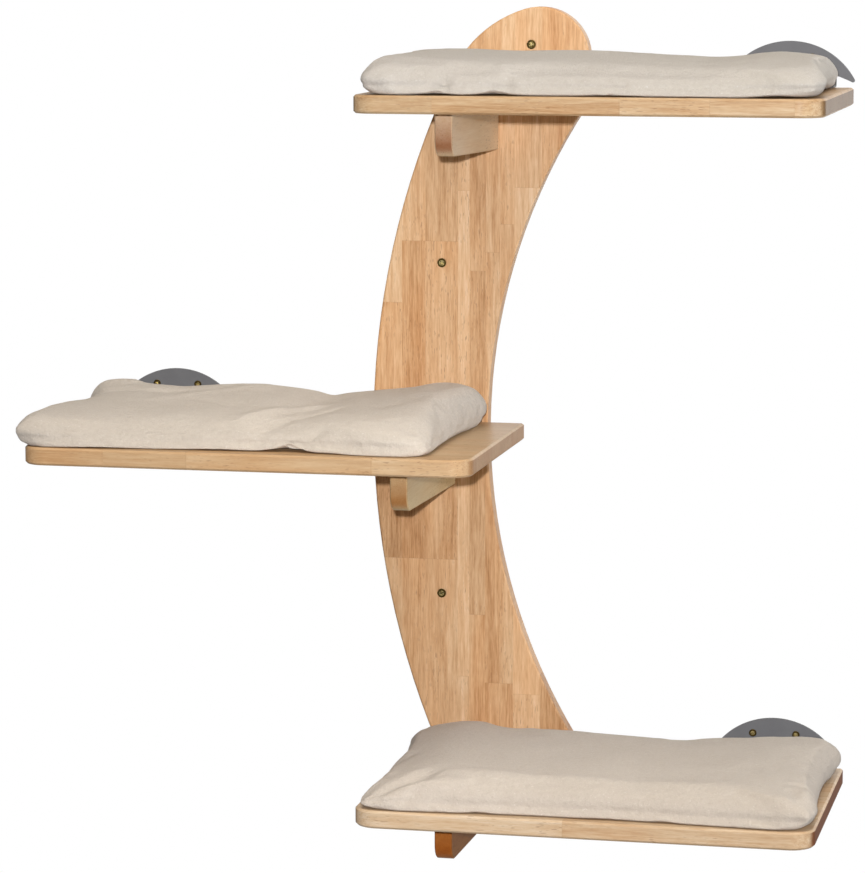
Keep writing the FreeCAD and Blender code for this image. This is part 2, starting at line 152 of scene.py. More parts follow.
class Graph:
    """Adds nodes to a node tree and wires them."""

    def __init__(self, tree):
        self.tree = tree

    def feed(self, socket, value):
        if isinstance(value, bpy.types.NodeSocket):
            self.tree.links.new(value, socket)
        else:
            socket.default_value = value

    def add(self, kind, inputs=None, **settings):
        node = self.tree.nodes.new(kind)
        for name, value in settings.items():
            setattr(node, name, value)
        for socket, value in (inputs or {}).items():
            self.feed(node.inputs[socket], value)
        return node

    def math(self, operation, *values):
        return self.add("ShaderNodeMath", dict(enumerate(values)), operation=operation).outputs[0]

    def vector(self, x, y, z):
        return self.add("ShaderNodeCombineXYZ", {"X": x, "Y": y, "Z": z}).outputs[0]

    def split(self, vector):
        return self.add("ShaderNodeSeparateXYZ", {"Vector": vector}).outputs

    def ramped(self, value, low, high, smooth=True):
        """0 up to low, 1 from high on, and between them in between."""
        kind = "SMOOTHSTEP" if smooth else "LINEAR"
        inputs = {"Value": value, "From Min": low, "From Max": high}
        return self.add("ShaderNodeMapRange", inputs, interpolation_type=kind).outputs["Result"]

    def blend(self, factor, first, second, how="MIX"):
        """Two colours mixed. A colour mix has its factor at socket 0, its colours at 6 and 7."""
        inputs = {0: factor, 6: first, 7: second}
        return self.add("ShaderNodeMix", inputs, data_type="RGBA", blend_type=how).outputs[2]

    def mix_shaders(self, share, first, second):
        """The first shader at share 0, the second at share 1."""
        return self.add("ShaderNodeMixShader", {0: share, 1: first, 2: second}).outputs[0]

    def line_mask(self, distance, half_width):
        """1 on a line and 0 from half its width on."""
        return self.ramped(self.math("ABSOLUTE", distance), half_width, 0.0)

    def past_whole(self, value):
        """How far a number is past the nearest whole one."""
        return self.math("SUBTRACT", value, self.math("ROUND", value))

    def diagonal(self, first, second):
        """The length of the line whose two legs are given."""
        squares = [self.math("POWER", leg, 2.0) for leg in (first, second)]
        return self.math("SQRT", self.math("ADD", *squares))

    def channels(self, colour):
        """A colour's red, green and blue, as numbers."""
        return self.add("ShaderNodeSeparateColor", {"Color": colour}).outputs[:3]

    def chance(self, seed):
        """Three random numbers from 0 to 1 that stay the same for the same seed."""
        node = self.add("ShaderNodeTexWhiteNoise", {"W": seed}, noise_dimensions="1D")
        return self.channels(node.outputs["Color"])

    def mixed(self, share, first, second):
        """The first number at share 0, the second at share 1."""
        return self.math("MULTIPLY_ADD", share, self.math("SUBTRACT", second, first), first)

    def noise(self, vector, scale, detail=2.0, roughness=0.5):
        inputs = {"Vector": vector, "Scale": scale, "Detail": detail, "Roughness": roughness}
        return self.add("ShaderNodeTexNoise", inputs, noise_dimensions="3D").outputs["Fac"]

    def tones(self, value, stops, constant=False):
        """A colour ramp: stops are places from 0 to 1, each with its colour."""
        node = self.add("ShaderNodeValToRGB", {"Fac": value})
        ramp = node.color_ramp
        ramp.interpolation = "CONSTANT" if constant else "LINEAR"
        while len(ramp.elements) < len(stops):
            ramp.elements.new(1)
        for element, (place, colour) in zip(ramp.elements, stops):
            element.position = place
            element.color = (*colour, 1)
        return node.outputs["Color"]


def shader_group(name, inputs, outputs):
    """A new shader node group, its graph, what comes in and what goes out."""
    tree = bpy.data.node_groups.new(name, "ShaderNodeTree")
    for socket_name, kind in inputs.items():
        tree.interface.new_socket(name=socket_name, in_out="INPUT", socket_type=kind)
    for socket_name, kind in outputs.items():
        tree.interface.new_socket(name=socket_name, in_out="OUTPUT", socket_type=kind)
    graph = Graph(tree)
    return graph, graph.add("NodeGroupInput").outputs, graph.add("NodeGroupOutput").inputs


NUMBER = "NodeSocketFloat"
COLOUR = "NodeSocketColor"
ARROW = "NodeSocketVector"

# Steps with no simple ratio between them, so that no two panels, staves or pieces share random numbers
panel_step, stave_step, piece_step = 7.31, 1.713, 0.371
# Half the width of a glue line, as a share of a stave, and of a finger joint, as a share of a piece
glue_line_share, finger_joint_share = 0.012, 0.0016
# A glue line shows less than a finger joint
glue_line_strength = 0.4


def stave_layout_group(settings):
    """The staves of a glued panel and the pieces that each is jointed from, with a tone for each piece."""
    graph, given, result = shader_group(
        "Stave layout", {"Along": NUMBER, "Across": NUMBER, "Seed": NUMBER},
        {"Piece": NUMBER, "Tone": NUMBER, "Joint": NUMBER})
    place = graph.math("DIVIDE", given["Across"], settings.stave_width)
    place = graph.math("MULTIPLY_ADD", given["Seed"], panel_step, place)
    # Plain noise makes the staves differ in width
    place = graph.math("ADD", place, graph.noise(graph.vector(place, given["Seed"], 0.0), 0.7, detail=0.0))
    stave = graph.math("FLOOR", place)
    beside = graph.line_mask(graph.past_whole(place), glue_line_share)
    shift = graph.chance(stave)[0]
    run = graph.math("ADD", graph.math("DIVIDE", given["Along"], settings.piece_length), shift)
    ends = graph.line_mask(graph.past_whole(run), finger_joint_share)
    piece = graph.math("MULTIPLY", stave, stave_step)
    piece = graph.math("MULTIPLY_ADD", graph.math("FLOOR", run), piece_step, piece)
    graph.feed(result["Piece"], piece)
    graph.feed(result["Tone"], graph.math("SUBTRACT", graph.chance(piece)[1], 0.5))
    beside = graph.math("MULTIPLY", beside, glue_line_strength)
    graph.feed(result["Joint"], graph.math("MAXIMUM", beside, ends))
    return graph.tree


# Growth rings, in metres: the distance between two, the range of their heart's place beside a piece, the
# least and the range of its depth below the piece, and how far they wander. Then how strongly they show.
ring_spacing = 0.0068
heart_aside_range, heart_below, heart_below_range = 0.1, 0.025, 0.08
ring_wander = 0.04
ring_strength = 0.04
# Some pieces, and patches of all, are redder, and pores and joints are darker, by these shares
blush_colour, blush_share = (255, 238, 220), 0.45
pore_share, joint_share = 0.5, 0.3


def wood_figure_group(settings):
    """Colour and relief of one jointed piece of wood, different for each piece."""
    graph, given, result = shader_group(
        "Wood figure",
        {"Along": NUMBER, "Across": NUMBER, "Depth": NUMBER, "Piece": NUMBER, "Tone": NUMBER, "Joint": NUMBER,
         "End Grain": NUMBER, "Contrast": NUMBER, "Shade": COLOUR, "End Shade": COLOUR},
        {"Color": COLOUR, "Height": NUMBER, "Roughness": NUMBER})
    red, green, blue = graph.chance(given["Piece"])
    start = graph.math("MULTIPLY", red, 9.0)
    across = graph.math("ADD", given["Across"], start)
    depth = graph.math("MULTIPLY_ADD", green, 5.0, given["Depth"])
    along = graph.math("ADD", given["Along"], start)

    def grain(share, scale, detail=2.0, roughness=0.5):
        """Noise drawn out along the grain: the smaller the share, the longer its streaks."""
        drawn = graph.vector(across, graph.math("MULTIPLY", along, share), depth)
        return graph.noise(drawn, scale, detail=detail, roughness=roughness)

    figure = grain(0.13, 34.0, detail=3.0, roughness=0.55)
    aside = graph.math("MULTIPLY_ADD", graph.math("SUBTRACT", blue, 0.5), heart_aside_range, given["Across"])
    below = graph.math("MULTIPLY_ADD", green, heart_below_range, heart_below)
    from_heart = graph.diagonal(aside, graph.math("ADD", given["Depth"], below))
    from_heart = graph.math("MULTIPLY_ADD", figure, ring_wander, from_heart)
    rings = graph.math("SINE", graph.math("MULTIPLY", from_heart, 2 * math.pi / ring_spacing))

    streaks = grain(0.04, 150.0, roughness=0.6)
    fibres = grain(0.055, 620.0, roughness=0.65)
    flecks = grain(0.12, 950.0, detail=1.0)
    patches = grain(0.35, 24.0)
    pores = graph.math("MULTIPLY", graph.ramped(flecks, 0.6, 0.72), graph.ramped(patches, 0.4, 0.6))

    marks = graph.math("MULTIPLY", rings, ring_strength)
    for noise_value, strength in ((figure, 0.5), (streaks, 0.5), (fibres, 0.8), (flecks, 0.3)):
        marks = graph.math("MULTIPLY_ADD", graph.math("SUBTRACT", noise_value, 0.5), strength, marks)
    tone = graph.math("MULTIPLY_ADD", marks, given["Contrast"], given["Tone"])
    colour = graph.tones(tone, (
        (0.0, settings.darkest), (0.3, settings.dark), (0.5, settings.middle), (0.7, settings.pale),
        (1.0, settings.palest)))
    blush = graph.math("MULTIPLY", graph.ramped(grain(0.2, 30.0), 0.4, 0.7), blush_share)
    blush = graph.math("MULTIPLY_ADD", green, blush_share, blush)
    colour = graph.blend(blush, colour, (*srgb(*blush_colour), 1), "MULTIPLY")
    colour = graph.blend(graph.math("MULTIPLY", pores, pore_share), colour, (*settings.pore, 1))
    colour = graph.blend(graph.math("MULTIPLY", given["Joint"], joint_share), colour, (*settings.darkest, 1))
    colour = graph.blend(1.0, colour, given["Shade"], "MULTIPLY")
    graph.feed(result["Color"], graph.blend(given["End Grain"], colour, given["End Shade"], "MULTIPLY"))
    relief = graph.math("MULTIPLY_ADD", fibres, 0.5, graph.math("MULTIPLY", pores, -0.8))
    graph.feed(result["Height"], graph.math("SUBTRACT", relief, given["Joint"]))
    rough = graph.math("MULTIPLY_ADD", fibres, 0.12, settings.roughness - 0.06)
    graph.feed(result["Roughness"], graph.math("MULTIPLY_ADD", pores, 0.1, rough))
    return graph.tree


def handled_metal():
    """Fine scratches and smudges of handled metal, as one group that is built when it is first needed."""
    known = bpy.data.node_groups.get("Handled metal")
    if known:
        return known
    graph, given, result = shader_group(
        "Handled metal", {"Position": ARROW, "Grain": NUMBER}, {"Height": NUMBER, "Smudge": NUMBER})
    graph.feed(result["Height"], graph.noise(given["Position"], given["Grain"], detail=3.0, roughness=0.6))
    graph.feed(result["Smudge"], graph.noise(given["Position"], 45.0, detail=4.0, roughness=0.6))
    return graph.tree


def new_material(name):
    """A material with a Principled shader, its graph and that shader."""
    material = bpy.data.materials.new(name)
    material.use_nodes = True
    graph = Graph(material.node_tree)
    shader = material.node_tree.nodes["Principled BSDF"]
    return material, graph, shader


def set_shader(shader, values):
    """Sets the shader's own sockets to what is the same all over the surface."""
    for name, value in values.items():
        shader.inputs[name].default_value = value


def bumped(graph, shader, height, distance, strength, normal=None):
    """Gives a shader relief, on top of another normal if there is one. The distance is in metres."""
    inputs = {"Height": height, "Distance": distance, "Strength": strength}
    if normal is not None:
        inputs["Normal"] = normal
    graph.feed(shader.inputs["Normal"], graph.add("ShaderNodeBump", inputs).outputs["Normal"])


# From this share of facing along the grain, a face shows its end grain in full
end_grain_full = 0.98


def wood_material(name, settings, figure, axes, layout, shade, end_shade, contrast, end_from):
    """Lacquered wood. axes says which of X, Y and Z runs along, across and through the staves.

    End grain shows where a face is turned along the grain by more than end_from, from 0 to 1.
    """
    material, graph, shader = new_material(name)
    coordinates = graph.add("ShaderNodeTexCoord")
    place = graph.split(coordinates.outputs["Object"])
    facing = graph.split(coordinates.outputs["Normal"])
    along, across, depth = (place[axis] for axis in axes)
    piece, tone, joint, end_share = layout(graph, along, across)
    end_grain = graph.ramped(graph.math("ABSOLUTE", facing[axes[0]]), end_from, end_grain_full)
    wood = graph.add("ShaderNodeGroup", {
        "Along": along, "Across": across, "Depth": depth, "Piece": piece, "Tone": tone, "Joint": joint,
        "Contrast": contrast, "Shade": (*shade, 1), "End Shade": (*end_shade, 1),
        "End Grain": graph.math("MULTIPLY", end_grain, end_share),
    }, node_tree=figure).outputs
    graph.feed(shader.inputs["Base Color"], wood["Color"])
    graph.feed(shader.inputs["Roughness"], wood["Roughness"])
    eased = graph.add("ShaderNodeBevel", {"Radius": settings.eased_edge}, samples=4).outputs["Normal"]
    bumped(graph, shader, wood["Height"], distance=0.0002, strength=0.25, normal=eased)
    set_shader(shader, {
        "Coat Weight": settings.lacquer, "Coat Roughness": 0.3, "Specular IOR Level": settings.shine})
    return material


# The board's staves from left to right: where each starts along X in metres, how pale its four pieces are
# from the bottom up, and the heights of the three joints between them
board_staves = (
    (-0.0800, (0.44, 0.26, 0.46, 0.58), (-0.141, -0.020, 0.135)),
    (-0.0315, (0.45, 0.23, 0.33, 0.53), (-0.141, -0.035, 0.201)),
    (-0.0060, (0.50, 0.42, 0.50, 0.47), (-0.141, 0.012, 0.201)),
    (0.0293, (0.60, 0.62, 0.67, 0.58), (-0.268, 0.030, 0.255)),
    (0.0420, (0.40, 0.42, 0.33, 0.38), (-0.200, -0.030, 0.170)),
    (0.0600, (0.42, 0.37, 0.48, 0.46), (-0.274, 0.025, 0.190)),
    (0.0750, (0.38, 0.44, 0.50, 0.52), (-0.274, -0.015, 0.220)),
    (0.0910, (0.57, 0.62, 0.65, 0.57), (-0.285, 0.005, 0.259)),
    (0.1200, (0.24, 0.45, 0.45, 0.50), (-0.262, 0.010, 0.230)),
)
joint_width = 0.0004
# The board's end grain is only partly as dark as its shade says
board_end_share = 0.6


def share_across(start, low, high):
    """Where a place along X lies in a box, as a share of its width, and 0 where it is before the box."""
    return max(0.0, (start - low.x) / (high.x - low.x))


def board_layout(graph, along, across):
    """The board's own staves and pieces, laid out as in the photo."""
    low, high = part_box("backboard")
    stave_share = graph.ramped(across, low.x, high.x, smooth=False)
    height_share = graph.ramped(along, low.z, high.z, smooth=False)
    height = high.z - low.z
    count = len(board_staves)
    tables = [[], [], []]
    for number, (start, tones, joints) in enumerate(board_staves):
        place = share_across(start, low, high)
        shares = [(joint - low.z) / height for joint in joints]
        for table, row in zip(tables, (tones[:3], (tones[3], *shares[:2]), (shares[2], number / count, 0.0))):
            table.append((place, row))
    values = []
    for table in tables:
        values += graph.channels(graph.tones(stave_share, table, constant=True))
    first, second, third, fourth, joint_1, joint_2, joint_3, number = values[:8]
    tone = first
    # 6.1 from stave to stave and 1.7 from piece to piece give each piece its own figure
    piece = graph.math("MULTIPLY", number, 6.1 * count)
    line = 0.0
    for joint, above in ((joint_1, second), (joint_2, third), (joint_3, fourth)):
        over = graph.math("GREATER_THAN", height_share, joint)
        tone = graph.mixed(over, tone, above)
        piece = graph.math("MULTIPLY_ADD", over, 1.7, piece)
        line = graph.math("MAXIMUM", line, graph.line_mask(
            graph.math("SUBTRACT", height_share, joint), joint_width / height))
    return piece, tone, line, board_end_share


# The front stave of each shelf from left to right: where each piece starts along X in metres, and how pale
front_pieces = {
    "top": ((-0.1, 0.49), (0.064, 0.48), (0.249, 0.55), (0.337, 0.53), (0.418, 0.54)),
    "middle": ((-0.5, 0.36), (-0.275, 0.37), (-0.188, 0.47), (0.003, 0.53)),
    "bottom": ((-0.1, 0.66), (0.197, 0.51)),
}


# How far the tones of the staves behind the front one lie apart
tone_spread = 0.26


def panel_layout(settings, staves, level, seed, paleness):
    """A shelf's staves, glued side by side. A higher paleness makes all but the front one paler."""
    low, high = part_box(level + "_shelf")
    pieces = front_pieces[level]

    def layout(graph, along, across):
        inputs = {"Along": along, "Across": across, "Seed": seed}
        panel = graph.add("ShaderNodeGroup", inputs, node_tree=staves).outputs
        tone = graph.math("MULTIPLY_ADD", panel["Tone"], tone_spread, paleness)
        stops = [(share_across(start, low, high), (pale, number / len(pieces), 0.0))
                 for number, (start, pale) in enumerate(pieces)]
        ramp = graph.tones(graph.ramped(along, low.x, high.x, smooth=False), stops, constant=True)
        front_tone, number = graph.channels(ramp)[:2]
        # 3.7 from shelf to shelf and 8.3 over the shelf's pieces give each piece its own figure
        front_piece = graph.math("MULTIPLY_ADD", number, 8.3, 3.7 * seed)
        line = 0.0
        for start, _ in pieces[1:]:
            joint = graph.line_mask(graph.math("SUBTRACT", along, start), joint_width)
            line = graph.math("MAXIMUM", line, joint)
        behind = graph.math("SUBTRACT", across, low.y + settings.stave_width)
        is_front = graph.math("LESS_THAN", behind, 0.0)
        glue_line = graph.math("MULTIPLY", graph.line_mask(behind, joint_width), glue_line_strength)
        joint = graph.math("MAXIMUM", graph.mixed(is_front, panel["Joint"], line), glue_line)
        piece = graph.mixed(is_front, panel["Piece"], front_piece)
        return piece, graph.mixed(is_front, tone, front_tone), joint, 1.0
    return layout


# How much of a block's end shade shows at its upper edge, the rest coming in towards the lower one
upper_end_share = 0.35


def block_layout(seed, paleness, low, high):
    """One block of wood, whose end grain is darkest at its lower edge."""
    def layout(graph, along, across):
        down_share = graph.ramped(across, high, low)
        end_share = graph.math("MULTIPLY_ADD", down_share, 1 - upper_end_share, upper_end_share)
        return seed, paleness, 0.0, end_share
    return layout


def give_material(obj, material):
    """Makes this an object's only material."""
    obj.data.materials.clear()
    obj.data.materials.append(material)
    for polygon in obj.data.polygons:
        polygon.material_index = 0


def new_object(name, mesh):
    """A new object in the scene."""
    obj = bpy.data.objects.new(name, mesh)
    bpy.context.scene.collection.objects.link(obj)
    return obj


# How each level's wood differs: paleness from 0 to 1, and shades that the colours are multiplied by.
# Part of it is painted light: the top cleat is paler and the bottom one darker for how the lamps fall on
# them, and the shelves' end shades are partly painted shade, darkening ends against side lamp and reflections
wood_looks = {
    "top": {
        "contrast": 1.0,
        "shelf_paleness": 0.5, "shelf_shade": (229, 235, 240), "shelf_end_with_painted_shade": (165, 150, 118),
        "cleat_paleness_with_painted_light": 0.76, "cleat_tint_with_painted_light": (248, 252, 255), "cleat_end": (152, 86, 20),
    },
    "middle": {
        "contrast": 0.6,
        "shelf_paleness": 0.7, "shelf_shade": (233, 237, 240), "shelf_end_with_painted_shade": (222, 203, 186),
        "cleat_paleness_with_painted_light": 0.64, "cleat_tint_with_painted_light": (230, 243, 240), "cleat_end": (198, 138, 72),
    },
    "bottom": {
        "contrast": 0.85,
        "shelf_paleness": 0.66, "shelf_shade": (232, 239, 250), "shelf_end_with_painted_shade": (152, 104, 65),
        "cleat_paleness_with_painted_light": 0.3, "cleat_tint_with_painted_light": (206, 175, 120), "cleat_end": (240, 190, 122),
    },
}
board_shade, board_end, board_contrast = (255, 251, 250), (226, 199, 166), 1.0
cleat_contrast = 0.55
# End grain starts to show at these shares of facing along the grain: sooner on a cleat, for its round nose
panel_end_from, cleat_end_from = 0.8, 0.35
# Added to a level's number for its cleat, so that its figure isn't its shelf's
cleat_seed = 20.5


class ClimbingWallDressWood(bpy.types.Operator):
    """Gives the board, the shelves and the cleats their lacquered wood"""

    bl_idname = "climbing_wall.dress_wood"
    bl_label = "Wooden board, shelves and cleats"

    def execute(self, context):
        settings = context.scene.climbing_wall_wood
        figure = wood_figure_group(settings)
        staves = stave_layout_group(settings)
        x, y, z = 0, 1, 2
        board = wood_material("board_wood", settings, figure, (z, x, y), board_layout, srgb(*board_shade),
                              srgb(*board_end), board_contrast, panel_end_from)
        give_material(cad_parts["backboard"], board)
        for seed, level in enumerate(levels, 1):
            look = wood_looks[level]
            layout = panel_layout(settings, staves, level, float(seed), look["shelf_paleness"])
            # The shelf's end shade is partly painted shade on its end faces
            shelf = wood_material(
                level + "_shelf_wood", settings, figure, (x, y, z), layout,
                srgb(*look["shelf_shade"]), srgb(*look["shelf_end_with_painted_shade"]), look["contrast"], panel_end_from)
            give_material(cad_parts[level + "_shelf"], shelf)
            # The cleat's paleness and tint hold painted light: paler on the top cleat, darker in the bottom
            # one's shade
            low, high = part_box(level + "_cleat")
            layout = block_layout(seed + cleat_seed, look["cleat_paleness_with_painted_light"], low.z, high.z)
            cleat = wood_material(
                level + "_cleat_wood", settings, figure, (y, z, x), layout,
                srgb(*look["cleat_tint_with_painted_light"]), srgb(*look["cleat_end"]), cleat_contrast, cleat_end_from)
            give_material(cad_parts[level + "_cleat"], cleat)
        return {"FINISHED"}


def metal_marks(graph, grain):
    """A metal surface's places, and its scratches and smudges: the higher the grain, the finer they are."""
    place = graph.add("ShaderNodeTexCoord").outputs["Object"]
    inputs = {"Position": place, "Grain": grain}
    return place, graph.add("ShaderNodeGroup", inputs, node_tree=handled_metal()).outputs


def darkened(colour, share):
    return tuple(share * channel for channel in colour)


class ClimbingWallDressPlates(bpy.types.Operator):
    """Gives the wall plates their grey powder coat"""

    bl_idname = "climbing_wall.dress_plates"
    bl_label = "Wall plates"

    def execute(self, context):
        settings = context.scene.climbing_wall_metal
        material, graph, shader = new_material("grey_powder_coat")
        _, marks = metal_marks(graph, 900.0)
        smudged = darkened(settings.plate_colour, 0.86)
        colour = graph.tones(marks["Smudge"], ((0.3, smudged), (0.7, settings.plate_colour)))
        graph.feed(shader.inputs["Base Color"], colour)
        graph.feed(shader.inputs["Roughness"], graph.math("MULTIPLY_ADD", marks["Smudge"], 0.16, 0.52))
        eased = graph.add("ShaderNodeBevel", {"Radius": 0.0005}, samples=4).outputs["Normal"]
        bumped(graph, shader, marks["Height"], distance=0.00012, strength=0.3, normal=eased)
        set_shader(shader, {"Specular IOR Level": 0.3})
        for level in levels:
            give_material(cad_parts[level + "_wall_plate"], material)
        return {"FINISHED"}


# The mark on a screw's mesh where a bright glint is painted, in its cross recess
painted_glint_mark = "rubbed"


def metal_material(name, colour, painted_glint_colour, roughness):
    """Metal of the screws: painted_glint_colour, a painted highlight, shows in patches where the mesh has the
    mark.
    """
    material, graph, shader = new_material(name)
    place, marks = metal_marks(graph, 2600.0)
    skin = graph.tones(marks["Smudge"], ((0.35, darkened(colour, 0.72)), (0.65, tuple(colour))))
    # Painted glints: the bright colour shows in patches over the marked cross recess, as a painted highlight
    marked = graph.add("ShaderNodeAttribute", attribute_name=painted_glint_mark).outputs["Fac"]
    glint_patches = graph.ramped(graph.noise(place, 480.0, detail=1.0), 0.34, 0.5)
    rubbed = graph.math("MULTIPLY", graph.ramped(marked, 0.78, 1.0), glint_patches)
    graph.feed(shader.inputs["Base Color"], graph.blend(rubbed, skin, (*painted_glint_colour, 1)))
    rough = graph.math("MULTIPLY_ADD", marks["Smudge"], 0.25, roughness - 0.12)
    graph.feed(shader.inputs["Roughness"], rough)
    bumped(graph, shader, marks["Height"], distance=0.00004, strength=0.35)
    set_shader(shader, {"Metallic": 1.0})
    return material


class ScrewKind:
    """Sizes of one kind of screw, in metres, and which way its point goes."""

    def __init__(self, point_way, neck_radius, shank_radius, head_edge, threaded_from, pan=False):
        self.point_way = Vector(point_way)
        self.neck_radius = neck_radius
        self.shank_radius = shank_radius
        self.head_edge = head_edge
        self.threaded_from = threaded_from
        self.pan = pan


into_wall = (0, 1, 0)
out_of_wall = (0, -1, 0)
down = (0, 0, -1)
# Each kind: where its point goes, the radius of its neck and of its shank, the height of its head's edge,
# and how far below the head's rim its thread starts
screw_kinds = {
    "board_wall_screws": ScrewKind(into_wall, 0.0022, 0.0025, 0.0003, 0.018),
    "plate_wall_screws": ScrewKind(into_wall, 0.002, 0.002, 0.0003, 0.0045),
    "shelf_rear_screws": ScrewKind(out_of_wall, 0.00225, 0.00225, 0.0001, 0.02),
    "cleat_rear_screws": ScrewKind(out_of_wall, 0.00225, 0.00225, 0.0001, 0.02),
    "cleat_top_screws": ScrewKind(down, 0.002, 0.002, 0.0001, 0.02),
    "plate_foot_screws": ScrewKind(down, 0.00175, 0.00175, 0.0, 0.003, pan=True),
}
# The length of a screw's point, in radii of its shank
tip_length_share = 2.2


def solids_of(node):
    """The box of each separate solid in a node, as its lowest and highest corner."""
    joined = bmesh.new()
    joined.from_mesh(node.data)
    bmesh.ops.remove_doubles(joined, verts=joined.verts, dist=1e-6)
    left = set(joined.verts)
    boxes = []
    while left:
        found = [left.pop()]
        for vertex in found:
            for edge in vertex.link_edges:
                other = edge.other_vert(vertex)
                if other in left:
                    left.remove(other)
                    found.append(other)
        low = Vector([min(v.co[axis] for v in found) for axis in range(3)])
        high = Vector([max(v.co[axis] for v in found) for axis in range(3)])
        boxes.append((low, high))
    joined.free()
    return sorted(boxes, key=lambda corners: tuple(round(c, 4) for c in corners[0]))


def ring(mesh, radii, height):
    """A loop of vertices round Z, with a radius for each step of the turn."""
    loop = []
    for step, radius in enumerate(radii):
        turn = 2 * math.pi * (step / len(radii))
        loop.append(mesh.verts.new((radius * math.cos(turn), radius * math.sin(turn), height)))
    return loop


def bridge(mesh, first, second):
    """Faces between two loops with as many vertices."""
    count = len(first)
    for index in range(count):
        after = (index + 1) % count
        mesh.faces.new((first[index], first[after], second[after], second[index]))


def cross_outline(mesh, reach, half_width, height):
    """The twelve corners of a cross, as vertices."""
    corners = []
    for quarter in range(4):
        turn = Matrix.Rotation(quarter * math.pi / 2, 3, "Z")
        for x, y in ((half_width, -half_width), (reach, -half_width), (reach, half_width)):
            corners.append(mesh.verts.new(turn @ Vector((x, y, 0)) + Vector((0, 0, height))))
    return corners


def edges_round(mesh, loop):
    """The edges of a closed loop, made where they aren't there yet."""
    return [mesh.edges.get((a, b)) or mesh.edges.new((a, b)) for a, b in zip(loop, loop[1:] + loop[:1])]


# A screw's head, in shares of its radius: the cross recess, as reach and half width of its arms, with its
# depth, the flat top of a countersunk head and how softly its rim is rounded, and the rise of a pan head
recess_mouth, recess_floor, recess_depth = (0.56, 0.13), (0.34, 0.09), 0.5
flat_top, rim_softness = 0.93, 0.04
pan_rise = 0.62
# A pan head's rounding from its top down, as shares of its radius and of its rise
pan_profile = ((0.55, 1.0), (0.8, 0.84), (0.95, 0.5), (1.0, 0.0))
# Half the width of a thread's crest, as a share of the pitch, and the rings that draw one turn of it
crest_share, rows_per_pitch = 0.28, 6


def add_screw(mesh, kind, settings, head_radius, length):
    """One screw along -Z, with its head's rim at Z = 0: recess, head, neck, thread and point."""
    steps = settings.turn_steps
    rise = pan_rise * head_radius if kind.pan else 0.0
    if kind.pan:
        profile = [(head_radius * wide, rise * high) for wide, high in pan_profile]
        profile.append((kind.shank_radius, 0.0))
    else:
        soft = rim_softness * head_radius
        profile = [
            (head_radius * flat_top, 0.0), (head_radius, -soft), (head_radius, -soft - kind.head_edge),
            (kind.neck_radius, -kind.head_edge - head_radius + kind.neck_radius)]
    profile.append((kind.neck_radius, -kind.threaded_from))

    def plain_ring(radius, height):
        return ring(mesh, [radius] * steps, height)

    top = plain_ring(*profile[0])
    mouth = cross_outline(mesh, *(share * head_radius for share in recess_mouth), rise)
    floor = cross_outline(
        mesh, *(share * head_radius for share in recess_floor), rise - recess_depth * head_radius)
    # The cross recess is marked for its painted glint
    for vertex in mouth + floor:
        vertex[mesh.verts.layers.float[painted_glint_mark]] = 1.0
    bmesh.ops.triangle_fill(mesh, edges=edges_round(mesh, top) + edges_round(mesh, mouth), use_beauty=True)
    bridge(mesh, mouth, floor)
    bmesh.ops.triangle_fill(mesh, edges=edges_round(mesh, floor), use_beauty=True)
    rings = [top] + [plain_ring(*size) for size in profile[1:]]
    pitch = settings.thread_pitch
    core = kind.shank_radius - settings.thread_depth
    tip = kind.shank_radius * tip_length_share
    rows = int((length - kind.threaded_from) / pitch * rows_per_pitch)
    for row in range(1, rows):
        depth = kind.threaded_from + row * pitch / rows_per_pitch
        near_point = min(1.0, (length - depth) / tip)
        run_in = min(1.0, (depth - kind.threaded_from) / pitch)
        radii = []
        for step in range(steps):
            phase = (depth / pitch + step / steps) % 1
            crest = max(0.0, 1 - abs(phase - 0.5) / crest_share)
            radii.append(near_point * (core + settings.thread_depth * crest * run_in))
        rings.append(ring(mesh, radii, -depth))
    for first, second in zip(rings, rings[1:]):
        bridge(mesh, first, second)
    point = mesh.verts.new((0, 0, -length))
    last = rings[-1]
    for index, vertex in enumerate(last):
        mesh.faces.new((vertex, last[(index + 1) % len(last)], point))


# How far a pan head's top stands above its rim on the solid, in metres
pan_head_height = 0.0022
# How far each screw was turned when it came tight, in radians: the first, and from one to the next
first_spin, spin_step = 0.4, 1.9


def screws_for(node_name, kind, settings, material):
    """All the screws of a CAD node as one piece, each where its solid is."""
    way = kind.point_way
    turn = Vector((0, 0, -1)).rotation_difference(way).to_matrix().to_4x4()
    mesh = bmesh.new()
    mesh.verts.layers.float.new(painted_glint_mark)
    for number, (low, high) in enumerate(solids_of(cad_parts[node_name])):
        size = high - low
        span = abs(size.dot(way))
        head_radius = min(size[axis] for axis in range(3) if abs(way[axis]) < 0.5) / 2
        above_rim = pan_head_height if kind.pan else 0.0
        seat = (low + high) / 2 - way * span / 2 + way * above_rim
        one = bmesh.new()
        one.verts.layers.float.new(painted_glint_mark)
        add_screw(one, kind, settings, head_radius, span - above_rim)
        spin = Matrix.Rotation(first_spin + spin_step * number, 4, "Z")
        bmesh.ops.transform(one, matrix=Matrix.Translation(seat) @ turn @ spin, verts=one.verts)
        bmesh.ops.recalc_face_normals(one, faces=one.faces)
        piece = bpy.data.meshes.new("one_screw")
        one.to_mesh(piece)
        one.free()
        mesh.from_mesh(piece)
        bpy.data.meshes.remove(piece)
    result = bpy.data.meshes.new(node_name + "_threaded")
    mesh.to_mesh(result)
    mesh.free()
    screws = new_object(node_name + "_threaded", result)
    give_material(screws, material)
    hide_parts(node_name)
    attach(screws, solid_body)
    return screws


